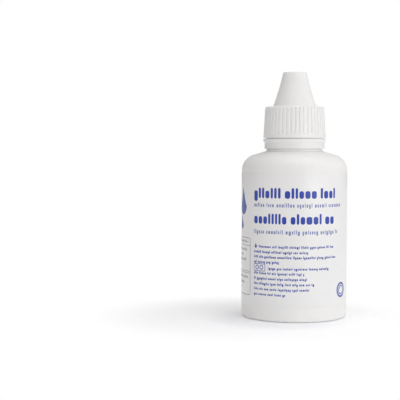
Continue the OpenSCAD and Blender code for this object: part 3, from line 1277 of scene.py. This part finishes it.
FRONT, TABLE, TABLE_END, RIGHT, BACK, BACK_LEFT = -16.45, -39.6, -18.85, 31.4, 46.0, -60.4
COLUMNS = (
    # Front: two headings, each with its line beneath, and the small print.
    Column(Ink.NAVY, Style.HEADING, FRONT, 45.5, (17.9,)),
    Column(Ink.SLATE, Style.SUBLINE, FRONT, 42.3, (20.1,)),
    Column(Ink.NAVY, Style.HEADING, FRONT, 36.1, (16.2,)),
    Column(Ink.SLATE, Style.SUBLINE, FRONT, 32.5, (18.8,)),
    Column(Ink.NAVY, Style.SMALL, FRONT + 2.5, 27.3, (16.3,)),
    Column(Ink.NAVY, Style.SMALL, FRONT, 25.35, (5.2, 18.0, -5.5), 1.85),
    Column(Ink.NAVY, Style.SMALL, FRONT + 6.6, 19.35, (14.0,)),
    Column(Ink.NAVY, Style.SMALL, FRONT, 17.5, (3.9, 5.0, 7.7, 6.0, -2.8), 1.95),
    # Left: a ruled table.
    Column(Ink.GREY, Style.SMALL, TABLE + 1.0, 28.6, (-20.05,)),
    Column(Ink.GREY, Style.SMALL, TABLE + 1.0, 25.6, (-21.25, -24.85, -21.85, -27.65), 1.9),
    Column(Ink.GREY, Style.SMALL, TABLE + 1.0, 15.4, (-20.45, -22.85, -27.85), 2.1),
    # Right: two paragraphs, each under a small heading.
    Column(Ink.NAVY, Style.SUBLINE, RIGHT, 46.0, (43.2,)),
    Column(Ink.NAVY, Style.SMALL, RIGHT, 42.6, (43.6, 42.2, 43.9, 38.8, 43.4, 42.4, 40.2), 1.85),
    Column(Ink.NAVY, Style.SUBLINE, RIGHT, 27.0, (39.8,)),
    Column(Ink.NAVY, Style.SMALL, RIGHT, 23.7, (43.7, 43.0, 43.9, 36.5), 1.85),
    # Back: fine print over a framed box on one side of the seam, two paragraphs on the other.
    Column(Ink.SLATE, Style.TINY, BACK, 47.2, (60.0, 60.6, 59.2, 60.4, 52.0), 1.45),
    Column(Ink.SLATE, Style.TINY, BACK, 37.4, (59.8, 60.5, 58.6, 60.2, 60.6, 55.0), 1.45),
    Column(Ink.SLATE, Style.TINY, BACK, 26.2, (60.2, 59.0, 60.5, 60.0, 50.5), 1.45),
    Column(Ink.SLATE, Style.SUBLINE, BACK + 1.2, 12.8, (58.8,)),
    Column(Ink.SLATE, Style.TINY, BACK + 1.2, 10.6, (58.0,)),
    Column(Ink.NAVY, Style.SUBLINE, BACK_LEFT, 46.0, (-45.0,)),
    Column(Ink.NAVY, Style.SMALL, BACK_LEFT, 42.8,
           (-44.2, -45.8, -44.0, -46.4, -44.6, -44.1, -45.2, -52.0), 1.85),
    Column(Ink.NAVY, Style.SUBLINE, BACK_LEFT, 25.2, (-50.0,)),
    Column(Ink.NAVY, Style.SMALL, BACK_LEFT, 22.0, (-44.4, -45.0, -44.1, -47.9), 1.85),
)


@dataclass
class LabelPrint:
    """All that is printed on the label, in place of words: rows of blocks, frames and plain signs."""

    radius: float = node_size("label", HIGH, X)
    seed: int = 7
    slim: float = 0.5
    least: float = 0.8

    def __post_init__(self) -> None:
        """Starts one sheet for each ink."""
        self.dice = random.Random(self.seed)
        self.sheets = {ink: Sheet(ink, self.radius) for ink in Ink}

    def row(self, column: Column, end: float, foot: float) -> None:
        """Prints one row of blocks in groups, as greeked type.

        Args:
            column: The column that it stands in.
            end: Where it ends.
            foot: The line that the blocks stand on.
        """
        look, s = column.style.value, column.start
        while s < end - look.block_w[0]:
            for _ in range(self.dice.randint(*look.word)):
                draw = self.dice.random()
                slim = self.slim if draw < look.tall_share else 1.0
                width = min(self.dice.uniform(*look.block_w) * slim, end - s)
                if width < look.block_w[0] * slim * self.least:
                    break
                tall = look.tall_h if draw < look.tall_share else look.body_h
                drop = look.tall_h - look.body_h if draw > 1 - look.low_share else 0.0
                self.sheets[column.ink].bar(s, foot - drop, width, tall + drop, look.round_r)
                s += width + look.gap
            s += look.space - look.gap

    def signs(self) -> None:
        """Prints the drops, frames, rules, rings and lens sign, from the front to the back."""
        navy, slate, blue, grey = self.sheets.values()
        navy.drop(FRONT + 0.9, 27.1, 1.9)
        navy.frame(FRONT, 18.7, FRONT + 5.3, 21.3, 0.22, 0.5)
        for along in (1.6, 3.7):
            navy.ring((FRONT + along, 20.0), 0.7, 0.3)
        for s, z, size in ((-25.0, 38.9, 10.4), (-31.0, 38.6, 6.4), (-26.4, 33.4, 5.4)):
            blue.drop(s, z, size)
        grey.frame(TABLE, 9.2, TABLE_END, 30.4, 0.28, 0.9)
        rule, start, end = 0.22, TABLE + 0.1, TABLE_END - 0.1
        for z in (27.6, 18.0, 17.3):
            grey.bar(start, z - rule / 2, end - start, rule, rule / 3)
        lens = (21.1, 11.4)
        blue.ring(lens, 2.5, 0.72, 48)
        blue.ring(lens, 1.55, 0.44, 48)
        blue.line(on_circle(lens, 0.9, (math.radians(110 + 7 * i) for i in range(9))), 0.28)
        for i in range(4):
            mark = (RIGHT + 1.5 + 3.4 * i, 12.2)
            blue.ring(mark, 1.4, 0.2)
            blue.disc(mark, 0.3 + 0.22 * i)
        slate.frame(BACK, 9.2, 60.2, 16.2, 0.18, 0.7)
        for i in range(3):
            blue.drop(BACK_LEFT + 2.0 + 5.2 * i, 9.8, 3.6)

    def build(self) -> list[bpy.types.Object]:
        """Prints every side.

        Returns:
            One piece for each ink.
        """
        for column in COLUMNS:
            for i, end in enumerate(column.ends):
                self.row(column, end, column.foot - i * column.leading)
        self.signs()
        return [finished(sheet.made, f"print_{sheet.ink.name.lower()}", PRINT_SHARP_DEG)
                for sheet in self.sheets.values()]

    def dress(self, pieces: Iterable[bpy.types.Object]) -> None:
        """Gives each ink its material and its body."""
        for ink, piece in zip(self.sheets, pieces):
            settle(piece, "bottle", "label_film", ink.value.material())


# ---- studio


@dataclass(frozen=True)
class Lamp:
    """A soft rectangular lamp aimed at the middle of the bottle, in metres and watts."""

    name: str
    place: tuple[float, float, float]
    size: Pair
    power: float
    aim: ClassVar[tuple[float, float, float]] = (0.0, 0.0, 0.045)

    def build(self) -> None:
        """Adds the lamp to the scene, hidden from the camera."""
        light = bpy.data.lights.new(self.name, "AREA")
        light.shape = "RECTANGLE"
        light.size, light.size_y = self.size
        light.energy = self.power
        lamp = bpy.data.objects.new(self.name, light)
        lamp.location = self.place
        lamp.visible_camera = False
        way = Vector(self.aim) - Vector(self.place)
        lamp.rotation_euler = way.to_track_quat("-Z", "Y").to_euler()
        bpy.context.scene.collection.objects.link(lamp)


# Low lamps in front and at both sides, stronger at the right, with one behind and one above.
WIDE, TALL, SQUARE = (0.35, 0.12), (0.35, 0.25), (0.5, 0.5)
LAMPS = (
    Lamp("key_right", (0.447, -0.533, 0.123), WIDE, 1.25),
    Lamp("side_right", (0.672, -0.18, 0.123), WIDE, 0.27),
    Lamp("fill_left", (-0.513, -0.476, 0.123), WIDE, 0.36),
    Lamp("side_left", (-0.672, -0.18, 0.123), WIDE, 0.18),
    Lamp("back_right", (0.626, 0.228, 0.266), TALL, 0.33),
    Lamp("top_soft", (0.075, -0.07, 0.69), SQUARE, 2.0),
)


@dataclass
class Studio:
    """The floor, the world, the lamps and the camera."""

    floor_r: float = 1.6
    matte: Colour = (0.975, 0.99, 1.0)
    # The next three give a painted shadow: a darker floor colour round the bottle's foot, centred a little
    # left of it and in front, fading out between two radii.
    painted_shadow_tone: Colour = (0.855, 0.865, 0.885)
    painted_shadow_at: Pair = (-4.0, -9.0)
    painted_shadow_r: Pair = (16.0, 31.0)
    glow: Colour = (0.97, 0.97, 1.0)
    glow_level: float = 0.16
    # The fade to plain white is centred left of the bottle, so the floor on its right turns white nearer to
    # it: painted light over the shadow there.
    painted_light_fade_at: Pair = (-16.0, -2.0)
    fade_r: Pair = (30.0, 64.0)
    world_tone: Colour = (1.0, 0.965, 0.95)
    world_level: float = 0.33
    picture_px: float = 400
    axis_px: float = 294.4
    eye_px: float = 139.9
    mm_per_px: float = 0.3802
    eye_z: float = 0.0668
    distance: float = 0.45
    roll_deg: float = -0.1
    sensor_mm: float = 36.0

    def floor(self) -> None:
        """Makes a white floor that keeps the soft shadow of the bottle, with a painted shadow round its foot
        as well.
        """
        made = bmesh.new()
        bmesh.ops.create_circle(made, cap_ends=True, segments=96, radius=self.floor_r)
        mesh = bpy.data.meshes.new("floor")
        made.to_mesh(mesh)
        made.free()
        floor = bpy.data.objects.new("floor", mesh)
        bpy.context.scene.collection.objects.link(floor)
        floor.data.materials.append(self.floor_material())

    def floor_material(self) -> bpy.types.Material:
        """A floor that shows its shadow near the bottle, with a painted shadow deeper in front, and plain
        white further off, reaching nearer the bottle on its right as painted light.

        Returns:
            The material.
        """
        shader = Shader("floor_white")
        point = shader.place()
        plain, matte, painted_shadow_bsdf = (shader.node("ShaderNodeBsdfDiffuse", {}, {"Color": tone})
                             for tone in (WHITE, self.matte, self.painted_shadow_tone))
        glow, white = (shader.node("ShaderNodeEmission", {}, {"Color": tone, "Strength": level})
                       for tone, level in ((self.glow, self.glow_level), (WHITE, 1.0)))
        # Painted shadow: the floor's colour goes darker towards the bottle's foot.
        foot = shader.blend(shader.away(point, self.painted_shadow_at).step(*self.painted_shadow_r), painted_shadow_bsdf, matte)
        near = shader.node("ShaderNodeAddShader", {}, {0: foot, 1: glow})
        # Plain white further off; being off-centre, it is also painted light on the floor at the bottle's
        # right.
        shown = shader.blend(shader.away(point, self.painted_light_fade_at).step(*self.fade_r), near, white)
        seen = shader.ray("Camera").at_least(shader.ray("Glossy")).at_least(shader.ray("Transmission"))
        shader.finish(shader.blend(seen, plain, shown))
        return shader.material

    def world(self) -> None:
        """Lights the scene evenly, and shows plain white behind it."""
        world = bpy.data.worlds.new("studio")
        bpy.context.scene.world = world
        world.use_nodes = True
        tree = Tree(world.node_tree, "ShaderNodeOutputWorld")
        soft, white = (tree.node("ShaderNodeBackground", {}, {"Color": tone, "Strength": level})
                       for tone, level in ((self.world_tone, self.world_level), (WHITE, 1.0)))
        tree.finish(tree.blend(tree.ray("Camera"), soft, white))

    def camera(self) -> None:
        """Places the camera so that the bottle stands right of the picture's centre."""
        focal_px = self.distance / (self.mm_per_px * MM)
        data = bpy.data.cameras.new("camera")
        data.sensor_width = self.sensor_mm
        data.lens = data.sensor_width * focal_px / self.picture_px
        data.clip_start = 0.01
        camera = bpy.data.objects.new("camera", data)
        camera.location = (0, -self.distance, self.eye_z)
        pitch = math.atan((self.picture_px / 2 - self.eye_px) / focal_px)
        yaw = math.atan((self.axis_px - self.picture_px / 2) / focal_px)
        camera.rotation_euler = (math.pi / 2 - pitch, math.radians(self.roll_deg), yaw)
        bpy.context.scene.collection.objects.link(camera)
        bpy.context.scene.camera = camera

    def build(self) -> None:
        """Sets up the whole studio."""
        self.floor()
        self.world()
        for lamp in LAMPS:
            lamp.build()
        self.camera()
        bpy.context.scene.view_settings.view_transform = "Standard"


def main() -> None:
    logging.basicConfig(level=logging.INFO, format="%(name)s: %(message)s")
    Studio().build()
    for part in (Bottle(), DropperPlug(), ScrewCap(), TamperBand(), LabelFilm(), LabelPrint()):
        part.dress(part.build())
    Solution().dress()


if __name__ == "__main__":
    main()
